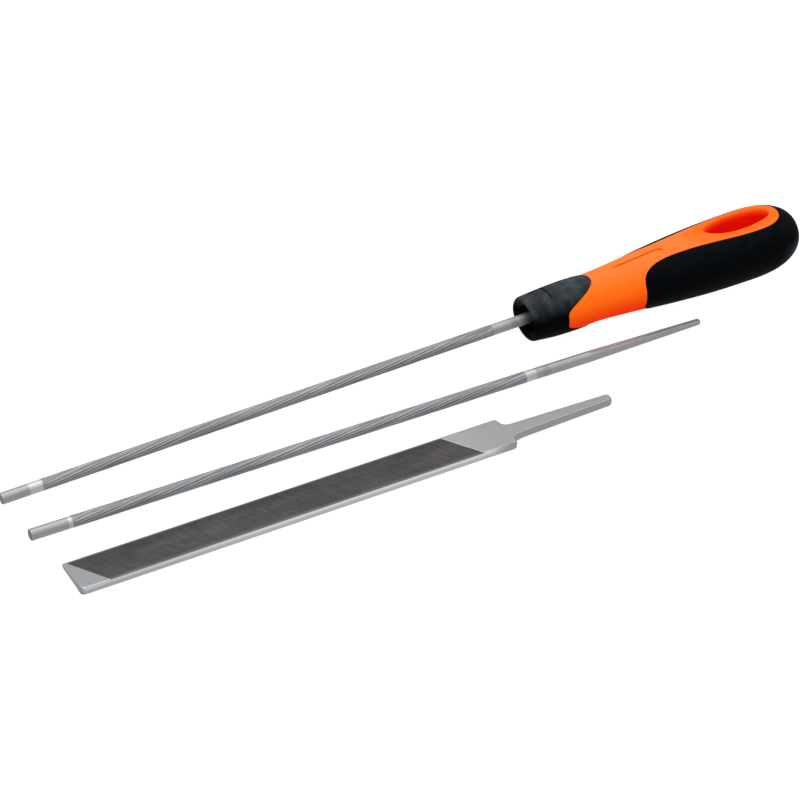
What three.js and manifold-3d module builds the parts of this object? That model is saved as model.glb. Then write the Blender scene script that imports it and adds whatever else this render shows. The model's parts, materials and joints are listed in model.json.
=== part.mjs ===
// A chainsaw sharpening file set laid out on a bench: a round file pressed into a
// two-colour moulded handle, a spare round file, and a flat file for the depth gauges.
// Millimetres, +Z up, +X along the tools from the file tips to the handle's butt.

import * as THREE from "three";
import { mergeVertices } from "three/addons/utils/BufferGeometryUtils.js";
import Module from "manifold-3d";

const wasm = await Module();
wasm.setup();

// Round files, both alike
const shankDiameter = 3.8;
const crestDiameter = 3.9;
const fluteDepth = 0.26;
const fluteCount = 12;
const fluteLead = 125;
const fluteRunout = 0.8;
const roundBodyLength = 200;
const roundTangLength = 43.5;
const plainTipLength = 13.9;
const plainHeelLength = 23.6;
const tipChamfer = 0.4;
const tangAcrossAtStart = 2.5;
const tangAcrossAtEnd = 1.75;
const tangGrindLength = 3;
const tangEndChamfer = 0.7;
const tangRoll = THREE.MathUtils.degToRad(21);

// Flat file
const flatBladeLength = 152.4;
const flatWidth = 14.5;
const flatThickness = 2.8;
const flatEdgeRound = 0.7;
const flatCornerRadius = 1.1;
const flatTangLength = 38.8;
const flatTangWidthAtNeck = 6.3;
const flatTangWidthAtEnd = 3.6;
const flatTangOffset = 0.2;
const flatShoulderFillet = 3;
const flatTangEndRadius = 1.6;
const cutPitch = 1.65;
const cutDepth = 0.22;
const cutRelief = 0.04;
const cutAngle = THREE.MathUtils.degToRad(32);
const cutStartAtFarEdge = 0.8;
const cutLengthAlongBlade = 130.6;

// Handle
const handleLength = 107.3;
const fileReach = 187.4;
const tangOffCentre = 0.45;
const bellyRadius = 12;
const rubberProud = 0.2;
const seatGap = 0.3;
const buttRounding = 22;
const mouthRadius = 4.9;
const mouthDepth = 12;
const mouthLeadIn = 1.9;
const noseRounding = 1.3;
const collarLipDepth = 3.4;
const collarSideLength = 12.7;
const collarTongueLength = 25.3;
const coreTubeRadius = 6.4;
const gripStart = 42.45;
const gripThickness = 3;
const stripNeckWidth = 9.26;
const stripBulgeWidth = 14.26;
const stripFlareLength = 10;
const stripFlareRise = 4.2;
const stripEndToButt = 7.6;
const stripEndLength = 12.4;
const hangHoleLength = 25.8;
const hangHoleWidth = 8.8;
const hangHoleToButt = 23.6;
const hangHoleRim = 1.4;
const socketClearance = 0.2;

// Places of the tools on the bench, measured from the handled file's tip
const spareSideStep = 21.2;
const spareTipStep = 0.85;
const spareYaw = THREE.MathUtils.degToRad(0.37);
const spareRoll = THREE.MathUtils.degToRad(-23);
const flatSideStep = 39.45;
const flatTipStep = 3.7;
const flatYaw = THREE.MathUtils.degToRad(1.06);

// Steps of the curved surfaces, one overrun for every cut, and how fine a mesh stays
const turnSteps = 36;
const fluteStepsPerTurn = 24;
const outlineSteps = 60;
const coreSteps = 26;
const gripSteps = 18;
const spineSteps = 10;
const collarSteps = 8;
const noseSteps = 3;
const edgeSteps = 14;
const holeSteps = 28;
const rimSteps = 3;
const cutOverrun = 2;
const weldDistance = 1e-4;
const finestStep = 0.008;

// Outline of the handle: share of its length, share of the belly radius
const handleOutlineShares = [
  [0, 0.645],
  [0.073, 0.69],
  [0.154, 0.712],
  [0.238, 0.698],
  [0.313, 0.735],
  [0.412, 0.81],
  [0.522, 0.9],
  [0.641, 0.97],
  [0.77, 1],
  [1, 1],
];
const buttPower = 2.6;
const stripEndPower = 2.5;
const tongueStartAngle = THREE.MathUtils.degToRad(20);
const tongueEndAngle = THREE.MathUtils.degToRad(83);
const tonguePower = 0.715;

const steel = new THREE.MeshStandardMaterial({ color: 0x8f9496, roughness: 0.38, metalness: 1 });
const flatSteel = new THREE.MeshStandardMaterial({ color: 0xa3a7a9, roughness: 0.42, metalness: 1 });
const orangePlastic = new THREE.MeshStandardMaterial({ color: 0xff5f12, roughness: 0.38, metalness: 0 });
const blackRubber = new THREE.MeshStandardMaterial({ color: 0x16181c, roughness: 0.75, metalness: 0 });

// A closed geometry as a solid: shared corners welded and collapsed triangles left out
function toSolid(geometry) {
  const bare = new THREE.BufferGeometry();
  bare.setAttribute("position", geometry.getAttribute("position"));
  bare.setIndex(geometry.getIndex());
  const welded = mergeVertices(bare, weldDistance);
  const corners = welded.getIndex().array;
  const kept = [];
  for (let i = 0; i < corners.length; i += 3) {
    const [a, b, c] = [corners[i], corners[i + 1], corners[i + 2]];
    if (a !== b && b !== c && c !== a) kept.push(a, b, c);
  }
  return new wasm.Manifold(
    new wasm.Mesh({
      numProp: 3,
      vertProperties: new Float32Array(welded.getAttribute("position").array),
      triVerts: new Uint32Array(kept),
    }),
  );
}

function toGeometry(solid) {
  const { vertProperties, triVerts } = solid.simplify(finestStep).getMesh();
  const geometry = new THREE.BufferGeometry();
  geometry.setAttribute("position", new THREE.BufferAttribute(vertProperties, 3));
  geometry.setIndex(new THREE.BufferAttribute(triVerts, 1));
  const faceted = geometry.toNonIndexed();
  faceted.computeVertexNormals();
  return faceted;
}

// Skin over rings of points that follow one another, with a fan over each end
function loft(rings) {
  const count = rings[0].length;
  const points = rings.flat();
  const faces = [];
  for (let ring = 0; ring + 1 < rings.length; ring++) {
    for (let i = 0; i < count; i++) {
      const a = ring * count + i;
      const b = ring * count + ((i + 1) % count);
      faces.push(a, b, b + count, a, b + count, a + count);
    }
  }
  const middleOf = (ring) => {
    const middle = new THREE.Vector3();
    ring.forEach((point) => middle.addScaledVector(point, 1 / count));
    return middle;
  };
  const first = points.push(middleOf(rings[0])) - 1;
  const last = points.push(middleOf(rings[rings.length - 1])) - 1;
  const lastRing = (rings.length - 1) * count;
  for (let i = 0; i < count; i++) {
    const next = (i + 1) % count;
    faces.push(first, next, i, last, lastRing + i, lastRing + next);
  }
  const geometry = new THREE.BufferGeometry().setFromPoints(points);
  geometry.setIndex(faces);
  return geometry;
}

// A solid turned about the X axis from a profile of [along, radius] points
function turned(profile) {
  const points = profile.map(([along, radius]) => new THREE.Vector2(radius, along));
  const lathe = new THREE.LatheGeometry(points, turnSteps);
  lathe.rotateZ(-Math.PI / 2);
  return toSolid(lathe);
}

// A prism from an outline of [x, y] points, standing on both sides of the XY plane
function prism(outline, halfDepth) {
  const shape = new THREE.Shape(outline.map(([x, y]) => new THREE.Vector2(x, y)));
  const block = new THREE.ExtrudeGeometry(shape, { depth: 2 * halfDepth, bevelEnabled: false });
  block.translate(0, 0, -halfDepth);
  return block;
}

// Points of an open curve moved sideways by a distance, to its left as it runs
function movedAside(curve, distance) {
  return curve.map((point, i) => {
    const before = curve[Math.max(i - 1, 0)];
    const after = curve[Math.min(i + 1, curve.length - 1)];
    const run = [after[0] - before[0], after[1] - before[1]];
    const length = Math.hypot(...run);
    return [point[0] - (distance * run[1]) / length, point[1] + (distance * run[0]) / length];
  });
}

const mirrored = (curve) => curve.map(([x, y]) => [x, -y]).reverse();

// Round file: plain tip, fluted stretch, plain heel and a tang ground to four flats.
// Its section at a place along it is a radius for each of two points to a flute.
const shankRadius = shankDiameter / 2;
const crestRadius = crestDiameter / 2;
const roundLength = roundBodyLength + roundTangLength;
const teethStart = plainTipLength;
const teethEnd = roundBodyLength - plainHeelLength;

function fluteTurn(along) {
  const inTeeth = THREE.MathUtils.clamp(along, teethStart, teethEnd);
  return tangRoll - (2 * Math.PI * (inTeeth - teethEnd)) / fluteLead;
}

function tangHalfAcross(along) {
  const intoTang = along - roundBodyLength;
  const ground = Math.min(intoTang, tangGrindLength) / tangGrindLength;
  const tapered = Math.max(intoTang - tangGrindLength, 0) / (roundTangLength - tangGrindLength);
  const start = THREE.MathUtils.lerp(shankDiameter, tangAcrossAtStart, ground) / 2;
  return THREE.MathUtils.lerp(start, tangAcrossAtEnd / 2, tapered);
}

function fileRing(along, radiusAt) {
  const count = 2 * fluteCount;
  return Array.from({ length: count }, (_, i) => {
    const angle = (2 * Math.PI * i) / count;
    const radius = radiusAt(i, angle);
    const turned = angle + fluteTurn(along);
    return new THREE.Vector3(along, radius * Math.cos(turned), radius * Math.sin(turned));
  });
}

const plainRing = (along, radius) => fileRing(along, () => radius);
const flutedRing = (along) => fileRing(along, (i) => (i % 2 ? crestRadius - fluteDepth : crestRadius));

function tangRing(along, spare) {
  const half = tangHalfAcross(along) + spare;
  const flats = (i, angle) => half / Math.max(Math.abs(Math.cos(angle)), Math.abs(Math.sin(angle)));
  return fileRing(along, (i, angle) => Math.min(shankRadius + spare, flats(i, angle)));
}

function roundFile() {
  const rings = [
    plainRing(0, shankRadius - tipChamfer),
    plainRing(tipChamfer, shankRadius),
    plainRing(teethStart - fluteRunout, shankRadius),
  ];
  const turns = (teethEnd - teethStart) / fluteLead;
  const steps = Math.ceil(turns * fluteStepsPerTurn);
  for (let i = 0; i <= steps; i++) {
    rings.push(flutedRing(THREE.MathUtils.lerp(teethStart, teethEnd, i / steps)));
  }
  rings.push(
    plainRing(teethEnd + fluteRunout, shankRadius),
    plainRing(roundBodyLength, shankRadius),
    tangRing(roundBodyLength + tangGrindLength / 2, 0),
    tangRing(roundBodyLength + tangGrindLength, 0),
    tangRing(roundLength - tangEndChamfer, 0),
    tangRing(roundLength, -tangEndChamfer / 2),
  );
  return toSolid(loft(rings));
}

// The hole that the shank's end and the tang fill, with the same flats
function tangSocket(mouth) {
  const rings = [
    plainRing(mouth, shankRadius + socketClearance),
    plainRing(roundBodyLength, shankRadius + socketClearance),
    tangRing(roundBodyLength + tangGrindLength, socketClearance),
    tangRing(roundLength + socketClearance, socketClearance),
  ];
  return toSolid(loft(rings));
}

// A closed shape through corners given as [x, y, rounding]
function roundedShape(corners) {
  const shape = new THREE.Shape();
  const points = corners.map(([x, y]) => new THREE.Vector2(x, y));
  const towards = (from, to, distance) =>
    from.clone().addScaledVector(to.clone().sub(from).normalize(), distance);
  points.forEach((corner, i) => {
    const before = points[(i + points.length - 1) % points.length];
    const after = points[(i + 1) % points.length];
    const start = towards(corner, before, corners[i][2]);
    const stop = towards(corner, after, corners[i][2]);
    if (i === 0) shape.moveTo(start.x, start.y);
    else shape.lineTo(start.x, start.y);
    shape.quadraticCurveTo(corner.x, corner.y, stop.x, stop.y);
  });
  return shape;
}

// Flat file: a bevelled plate with a narrower tang, and single-cut teeth on both faces
const flatLength = flatBladeLength + flatTangLength;

function flatPlate() {
  const inset = flatEdgeRound;
  const half = flatWidth / 2 - inset;
  const [tip, heel, end] = [inset, flatBladeLength - inset, flatLength - inset];
  const neckHalf = flatTangWidthAtNeck / 2 - inset;
  const endHalf = flatTangWidthAtEnd / 2 - inset;
  const endRound = Math.min(flatTangEndRadius, endHalf);
  const corner = flatCornerRadius;
  const [nearNeck, farNeck] = [-flatTangOffset - neckHalf, -flatTangOffset + neckHalf];
  const shoulder = (neck) => Math.min(flatShoulderFillet, half - Math.abs(neck) - corner);
  const outline = roundedShape([
    [tip, -half, corner],
    [heel, -half, corner],
    [heel, nearNeck, shoulder(nearNeck)],
    [end, -flatTangOffset - endHalf, endRound],
    [end, -flatTangOffset + endHalf, endRound],
    [heel, farNeck, shoulder(farNeck)],
    [heel, half, corner],
    [tip, half, corner],
  ]);
  const plate = new THREE.ExtrudeGeometry(outline, {
    depth: flatThickness - 2 * flatEdgeRound,
    curveSegments: 4,
    bevelThickness: flatEdgeRound,
    bevelSize: flatEdgeRound,
    bevelSegments: 3,
  });
  plate.translate(0, 0, flatEdgeRound);
  return toSolid(plate);
}

// A rack of saw-tooth ridges to sink into a face, its first ridge along the slanted start
function cutterRack() {
  const pitch = cutPitch / Math.cos(cutAngle);
  const count = Math.floor(cutLengthAlongBlade / pitch);
  const profile = [[0, cutOverrun]];
  for (let i = 0; i < count; i++) {
    profile.push([i * cutPitch, -cutRelief], [(i + 1) * cutPitch, -cutRelief - cutDepth]);
  }
  profile.push([count * cutPitch, cutOverrun]);
  const across = flatWidth / Math.cos(cutAngle) + cutLengthAlongBlade * Math.sin(cutAngle);
  const rack = prism(profile, across);
  rack.rotateX(Math.PI / 2);
  rack.rotateZ(cutAngle);
  rack.translate(cutStartAtFarEdge + (flatWidth / 2) * Math.tan(cutAngle), 0, 0);
  return rack;
}

function flatFile() {
  const upper = cutterRack();
  upper.translate(0, 0, flatThickness);
  const lower = cutterRack();
  lower.rotateX(Math.PI);
  return flatPlate().subtract(toSolid(upper)).subtract(toSolid(lower));
}

// Handle, along X from its front face: outer radius of the hard core
const outlineCurve = new THREE.SplineCurve(
  handleOutlineShares.map(([lengthShare, radiusShare]) => {
    return new THREE.Vector2(lengthShare * handleLength, radiusShare * bellyRadius);
  }),
);
const outlinePoints = outlineCurve.getPoints(outlineSteps);

function bodyRadius(along) {
  const next = outlinePoints.findIndex((point) => point.x >= along);
  if (next < 1) return outlinePoints[Math.max(next, 0)].y;
  const [a, b] = [outlinePoints[next - 1], outlinePoints[next]];
  return THREE.MathUtils.mapLinear(along, a.x, b.x, a.y, b.y);
}

function handleRadius(along) {
  const intoButt = Math.max(along - (handleLength - buttRounding), 0) / buttRounding;
  return bodyRadius(along) * Math.pow(1 - Math.pow(Math.min(intoButt, 1), buttPower), 1 / buttPower);
}

// Places along the handle for turned profiles: closer together round the butt
function stationsBetween(start, end, steps) {
  const stations = [];
  for (let i = 0; i <= steps; i++) {
    stations.push(THREE.MathUtils.lerp(start, end, Math.sin((Math.PI / 2) * (i / steps))));
  }
  return stations;
}

// A turned body that follows the handle's outline, moved out or in by an amount
function followedOutline(start, end, steps, moved) {
  const profile = [[start, 0]];
  for (const along of stationsBetween(start, end, steps)) {
    const radius = handleRadius(along) + moved;
    if (radius > 0) profile.push([along, radius]);
  }
  profile.push([profile[profile.length - 1][0], 0]);
  return turned(profile);
}

// Side view edge of the collar: short at the sides, a tongue along the top and the underside
function collarEdge(moved) {
  const edgeRadius = handleRadius(collarTongueLength);
  const upper = [[collarSideLength, 0]];
  for (let i = 0; i <= edgeSteps; i++) {
    const angle = THREE.MathUtils.lerp(tongueStartAngle, tongueEndAngle, i / edgeSteps);
    const rise = THREE.MathUtils.smoothstep((i / edgeSteps) ** tonguePower, 0, 1);
    const along = THREE.MathUtils.lerp(collarSideLength, collarTongueLength, rise);
    upper.push([along, edgeRadius * Math.sin(angle)]);
  }
  upper.push([collarTongueLength, bellyRadius + cutOverrun]);
  const edge = [...mirrored(upper), ...upper.slice(1)];
  return movedAside(edge, -moved);
}

function collarZone(moved) {
  const front = [-cutOverrun, bellyRadius + cutOverrun];
  const zone = prism([...mirrored([front]), ...collarEdge(moved), front], bellyRadius + cutOverrun);
  zone.rotateX(Math.PI / 2);
  return toSolid(zone);
}

// Plan view edge of the strip that stays bare of rubber: a flare, a neck and a bulb round the hole
function stripEdge(moved) {
  const neck = stripNeckWidth / 2;
  const bulge = stripBulgeWidth / 2;
  const flareEnd = gripStart + stripFlareLength;
  const end = handleLength - stripEndToButt;
  const widest = end - stripEndLength;
  const edge = [[gripStart, bellyRadius + cutOverrun]];
  for (let i = 0; i <= edgeSteps; i++) {
    const angle = (Math.PI / 2) * (i / edgeSteps);
    const along = flareEnd - stripFlareLength * Math.cos(angle);
    edge.push([along, neck + stripFlareRise * (1 - Math.sin(angle))]);
  }
  for (let i = 1; i <= edgeSteps; i++) {
    const along = THREE.MathUtils.lerp(flareEnd, widest, i / edgeSteps);
    const swell = THREE.MathUtils.smoothstep(along, flareEnd, widest);
    edge.push([along, THREE.MathUtils.lerp(neck, bulge, swell)]);
  }
  for (let i = 1; i <= edgeSteps; i++) {
    const angle = (Math.PI / 2) * (i / edgeSteps);
    const along = widest + stripEndLength * Math.pow(Math.sin(angle), 2 / stripEndPower);
    edge.push([along, bulge * Math.pow(Math.max(Math.cos(angle), 0), 2 / stripEndPower)]);
  }
  const upper = movedAside(edge, moved);
  upper[upper.length - 1] = [end + moved, 0];
  return [...upper, ...mirrored(upper).slice(1)];
}

// Everything from the grip's front edge to beyond the butt, apart from the bare strip
function gripZone(moved) {
  const side = bellyRadius + 2 * cutOverrun;
  const beyond = handleLength + cutOverrun;
  const edge = stripEdge(moved);
  edge[0][1] = side;
  edge[edge.length - 1][1] = -side;
  const zone = prism([...edge, [beyond, -side], [beyond, side]], side);
  return toSolid(zone);
}

// The hanging hole with a rounded rim that follows the handle's top and underside
function hangHole() {
  const steepest = THREE.MathUtils.degToRad(56);
  const centre = handleLength - hangHoleToButt;
  const ringAt = (spread, height) =>
    Array.from({ length: holeSteps }, (_, i) => {
      const angle = (2 * Math.PI * i) / holeSteps;
      const along = centre + (hangHoleLength / 2 + spread) * Math.cos(angle);
      const across = (hangHoleWidth / 2 + spread) * Math.sin(angle);
      return new THREE.Vector3(along, across, height(along, across));
    });
  const surface = (along, across) => Math.sqrt(Math.max(handleRadius(along) ** 2 - across ** 2, 0));
  const rimRings = [];
  for (let i = 0; i <= rimSteps; i++) {
    const angle = (steepest * i) / rimSteps;
    const spread = hangHoleRim * (1 - Math.cos(angle));
    const depth = hangHoleRim * (1 - Math.sin(angle));
    rimRings.push([spread, -depth]);
  }
  const [lastSpread, lastHeight] = rimRings[rimSteps];
  rimRings.push([lastSpread + cutOverrun, lastHeight + cutOverrun / Math.tan(steepest)]);
  const clear = bellyRadius + cutOverrun;
  const upper = rimRings.map(([spread, rise]) => ringAt(spread, (x, y) => surface(x, y) + rise));
  upper.push(ringAt(lastSpread + cutOverrun, () => clear));
  const lower = rimRings.map(([spread, rise]) => ringAt(spread, (x, y) => -surface(x, y) - rise));
  lower.push(ringAt(lastSpread + cutOverrun, () => -clear));
  return toSolid(loft([...lower.reverse(), ...upper]));
}

// Hard core: tube under the collar, full body in the middle, a slab and a spine under the grip
function handleCore() {
  const body = followedOutline(collarLipDepth + seatGap, handleLength, coreSteps, 0);
  const tubeEnd = collarTongueLength + cutOverrun;
  const tube = turned([
    [0, 0],
    [0, coreTubeRadius],
    [tubeEnd, coreTubeRadius],
    [tubeEnd, 0],
  ]);
  const spine = followedOutline(gripStart - cutOverrun, handleLength, spineSteps, -gripThickness);
  const mouth = turned([
    [0, 0],
    [0, mouthRadius],
    [mouthDepth, mouthRadius],
    [mouthDepth, 0],
  ]);
  return body
    .subtract(collarZone(seatGap).subtract(tube))
    .subtract(gripZone(0).subtract(spine))
    .subtract(mouth)
    .subtract(tangSocket(fileReach + mouthDepth - cutOverrun).translate([-fileReach, 0, tangOffCentre]))
    .subtract(hangHole());
}

// Front collar: a rubber ring with a rounded nose and mouth, a lip over the core's tube and two tongues
function frontCollar() {
  const noseRadius = handleRadius(noseRounding) + rubberProud - noseRounding;
  const profile = [];
  for (let i = -noseSteps; i <= noseSteps; i++) {
    const angle = (Math.PI / 2) * (i / noseSteps);
    const deep = i < 0 ? mouthLeadIn : noseRounding;
    const wide = i < 0 ? noseRadius - mouthRadius : noseRounding;
    profile.push([deep * (1 - Math.cos(angle)), noseRadius + wide * Math.sin(angle)]);
  }
  const end = collarTongueLength + cutOverrun;
  for (let i = 1; i <= collarSteps; i++) {
    const along = THREE.MathUtils.lerp(noseRounding, end, i / collarSteps);
    profile.push([along, handleRadius(along) + rubberProud]);
  }
  profile.push([end, coreTubeRadius + seatGap], [collarLipDepth, coreTubeRadius + seatGap]);
  profile.push([collarLipDepth, mouthRadius], [mouthLeadIn, mouthRadius]);
  return turned(profile).intersect(collarZone(0));
}

// Rear grip: a rubber shell round the sides and the butt, open along the bare strips
function rearGrip() {
  const shell = followedOutline(gripStart - cutOverrun, handleLength, gripSteps, rubberProud);
  const spine = followedOutline(gripStart - cutOverrun, handleLength, spineSteps, seatGap - gripThickness);
  return shell.intersect(gripZone(seatGap)).subtract(spine);
}

function named(name, solid, material) {
  const mesh = new THREE.Mesh(toGeometry(solid), material);
  mesh.name = name;
  return mesh;
}

// The handled file rests on its tip and on the handle's underside, which sets its slope
function restingSlope(handlePieces) {
  let steepest = 0;
  for (const piece of handlePieces) {
    const places = piece.geometry.getAttribute("position");
    for (let i = 0; i < places.count; i++) {
      const drop = tangOffCentre - places.getZ(i) - shankRadius;
      steepest = Math.max(steepest, drop / (fileReach + places.getX(i) - tipChamfer));
    }
  }
  return Math.atan(steepest);
}

const handle = new THREE.Group();
handle.add(named("handle_core", handleCore(), orangePlastic));
handle.add(named("front_collar", frontCollar(), blackRubber));
handle.add(named("rear_grip", rearGrip(), blackRubber));
handle.position.set(fileReach, 0, -tangOffCentre);

const slope = restingSlope(handle.children);
const handledFile = new THREE.Group();
handledFile.add(named("round_file", roundFile(), steel), handle);
handledFile.rotation.y = -slope;
handledFile.position.z = shankRadius * Math.cos(slope) - tipChamfer * Math.sin(slope);

const spareFile = named("spare_round_file", roundFile(), steel);
spareFile.position.set(spareTipStep, -spareSideStep, crestRadius);
spareFile.rotation.set(spareRoll, 0, spareYaw, "ZYX");

const depthFile = named("flat_file", flatFile(), flatSteel);
depthFile.position.set(flatTipStep, -flatSideStep - flatWidth / 2, 0);
depthFile.rotation.z = flatYaw;

const row = new THREE.Group();
row.add(handledFile, spareFile, depthFile);
row.updateMatrixWorld(true);
const reach = new THREE.Box3().setFromObject(row, true);
row.position.set(-(reach.min.x + reach.max.x) / 2, -(reach.min.y + reach.max.y) / 2, 0);

const set = new THREE.Group();
set.add(row);
set.updateMatrixWorld(true);

export default set;
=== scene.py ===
# A chainsaw sharpening file set on a pale bench: a round file in a two-colour handle,
# a spare round file and a flat file. Sizes are in millimetres and angles in degrees.

import json

import bmesh
import bpy
import numpy as np
from mathutils import Matrix, Vector


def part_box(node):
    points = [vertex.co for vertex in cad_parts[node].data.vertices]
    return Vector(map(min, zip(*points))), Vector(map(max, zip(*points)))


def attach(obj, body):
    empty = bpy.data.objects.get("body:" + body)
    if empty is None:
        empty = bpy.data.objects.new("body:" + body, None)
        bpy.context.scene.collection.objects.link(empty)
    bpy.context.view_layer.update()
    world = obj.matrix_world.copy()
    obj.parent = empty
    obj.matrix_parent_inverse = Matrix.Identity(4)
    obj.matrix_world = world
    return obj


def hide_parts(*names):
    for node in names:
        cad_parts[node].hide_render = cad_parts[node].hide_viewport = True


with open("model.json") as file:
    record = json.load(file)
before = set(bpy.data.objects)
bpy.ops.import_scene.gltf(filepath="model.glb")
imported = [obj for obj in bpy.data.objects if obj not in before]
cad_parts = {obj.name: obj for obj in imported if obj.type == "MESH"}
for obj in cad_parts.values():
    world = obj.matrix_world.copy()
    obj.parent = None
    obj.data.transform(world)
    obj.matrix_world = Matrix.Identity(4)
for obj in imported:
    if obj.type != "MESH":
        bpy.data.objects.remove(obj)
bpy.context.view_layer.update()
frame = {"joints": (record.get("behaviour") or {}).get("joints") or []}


# Round files: two alike, each one forging of hardened carbon steel. Spiral teeth are cut
# along the body, its two ends stay plain, and the tang behind it is ground to four flats.
# One file is pressed into the handle by its tang, and the other lies loose.

millimetre = 0.001
shank_radius = 1.9
crest_radius = 1.95
flute_depth = 0.12
flute_count = 15
flute_lead = 125
flute_fullness = 0.8
flute_step = 0.8
points_per_flute = 6
teeth_fade = 1
plain_tip, plain_heel = 13.9, 24.9
heel_band_length, worn_ring = 3.9, (6.5, 9.5)
round_body, round_tang = 200, 43.5
tip_chamfer = 0.4
run_out = 0.5
tang_at_start, tang_at_end, tang_corner = 2.5, 1.75, 1.085
tang_grind, tang_end_chamfer = 9, 0.7
tang_roll = np.radians(21)
teeth_start, teeth_end = plain_tip, round_body - plain_heel
crease_angle = np.radians(32)

pull_off = next(joint for joint in frame["joints"] if joint["name"] == "handle_pull_off")
slope = np.arctan2(pull_off["axis"][2], pull_off["axis"][0])
tip_corner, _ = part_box("round_file")
core_low, core_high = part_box("handle_core")
tip_x = tip_corner.x / millimetre + (shank_radius - tip_chamfer) * np.sin(slope)
tip_y = (core_low.y + core_high.y) / 2 / millimetre
tip_z = shank_radius * np.cos(slope) - tip_chamfer * np.sin(slope)
handled_place = Matrix.Translation((tip_x, tip_y, tip_z)) @ Matrix.Rotation(-slope, 4, "Y")


def beside_handled(side_step, tip_step, height, yaw):
    """The place of a loose tool, measured from the handled file's tip."""
    there = Matrix.Translation((tip_x + tip_step, tip_y - side_step, height))
    return there @ Matrix.Rotation(np.radians(yaw), 4, "Z")


spare_roll = np.radians(-23)
spare_place = beside_handled(side_step=21.2, tip_step=0.85, height=crest_radius, yaw=0.37)
spare_place = spare_place @ Matrix.Rotation(spare_roll, 4, "X")


def eased(value, low, high):
    """0 below low, 1 above high and a smooth rise between."""
    share = np.clip((value - low) / (high - low), 0, 1)
    return share * share * (3 - 2 * share)


def make_piece(name, points, faces, place):
    """A smooth mesh from points in its own millimetres, moved to its place on the bench."""
    turn = np.array(place)
    there = (points @ turn[:3, :3].T + turn[:3, 3]) * millimetre
    mesh = bpy.data.meshes.new(name)
    mesh.from_pydata(there.tolist(), [], [list(map(int, face)) for face in faces])
    work = bmesh.new()
    work.from_mesh(mesh)
    bmesh.ops.remove_doubles(work, verts=work.verts, dist=0.002 * millimetre)
    bmesh.ops.dissolve_degenerate(work, edges=work.edges, dist=0.0005 * millimetre)
    bmesh.ops.recalc_face_normals(work, faces=work.faces)
    loose = [point for point in work.verts if not point.link_faces]
    bmesh.ops.delete(work, geom=loose, context="VERTS")
    work.to_mesh(mesh)
    work.free()
    mesh.shade_smooth()
    mesh.set_sharp_from_angle(angle=crease_angle)
    piece = bpy.data.objects.new(name, mesh)
    bpy.context.scene.collection.objects.link(piece)
    return piece


def flute_turn(along):
    """How far the spiral has turned, so that it meets the flats of the tang."""
    inside = np.clip(along, teeth_start, teeth_end)
    return tang_roll - 2 * np.pi * (inside - teeth_end) / flute_lead


def round_ring(along, radii):
    """One ring of a round file, turned with the spiral of its teeth."""
    angles = 2 * np.pi * np.arange(len(radii)) / len(radii) + flute_turn(along)
    return np.c_[np.full(len(radii), along), radii * np.cos(angles), radii * np.sin(angles)]


def ring_faces(rings, count):
    """The faces of a closed solid whose rings have count points each."""
    faces = [list(range(count))[::-1], list(range((rings - 1) * count, rings * count))]
    for ring in range(rings - 1):
        here, there = ring * count, (ring + 1) * count
        for i in range(count):
            after = (i + 1) % count
            faces.append((here + i, here + after, there + after, there + i))
    return faces


def round_file_mesh():
    """The rings of a round file in order: tip, teeth, plain heel, tang."""
    count = flute_count * points_per_flute
    angles = 2 * np.pi * np.arange(count) / count
    valley = np.sin(np.pi * (np.arange(count) % points_per_flute) / points_per_flute)

    def plain(along, radius):
        return round_ring(along, np.full(count, radius))

    def tang(along, inset=0.0):
        into = along - round_body
        ground = (min(into, tang_grind) / tang_grind) ** 0.5
        across = 2 * shank_radius + (tang_at_start - 2 * shank_radius) * ground
        across += (tang_at_end - tang_at_start) * max(into - tang_grind, 0) / (round_tang - tang_grind)
        flats = across / 2 / np.maximum(abs(np.cos(angles)), abs(np.sin(angles)))
        corner = shank_radius + (tang_corner - shank_radius) * into / round_tang
        return round_ring(along, np.minimum(corner, flats) - inset)

    rings = []
    for share in (0, 0.35, 1):
        fall = tip_chamfer * (1 - np.sqrt(1 - (1 - share) ** 2))
        rings.append(plain(tip_chamfer * share, shank_radius - fall))
    for along in (tip_chamfer + run_out, teeth_start - run_out):
        rings.append(plain(along, shank_radius))
    for along in np.arange(teeth_start, teeth_end, flute_step):
        from_end = min(along - teeth_start, teeth_end - along)
        depth = flute_depth * valley ** flute_fullness * eased(from_end, 0, teeth_fade)
        rings.append(round_ring(along, crest_radius - depth))
    rings.append(plain(teeth_end + run_out, shank_radius))
    for along in (round_body - run_out, round_body):
        rings.append(plain(along, shank_radius))
    for share in np.linspace(0.04, 1, 14) ** 1.5:
        rings.append(tang(round_body + tang_grind * share))
    rings.append(tang(round_body + round_tang - tang_end_chamfer))
    rings.append(tang(round_body + round_tang - tang_end_chamfer / 3, tang_end_chamfer / 6))
    rings.append(tang(round_body + round_tang, tang_end_chamfer / 2))
    return np.vstack(rings), ring_faces(len(rings), count)


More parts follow.
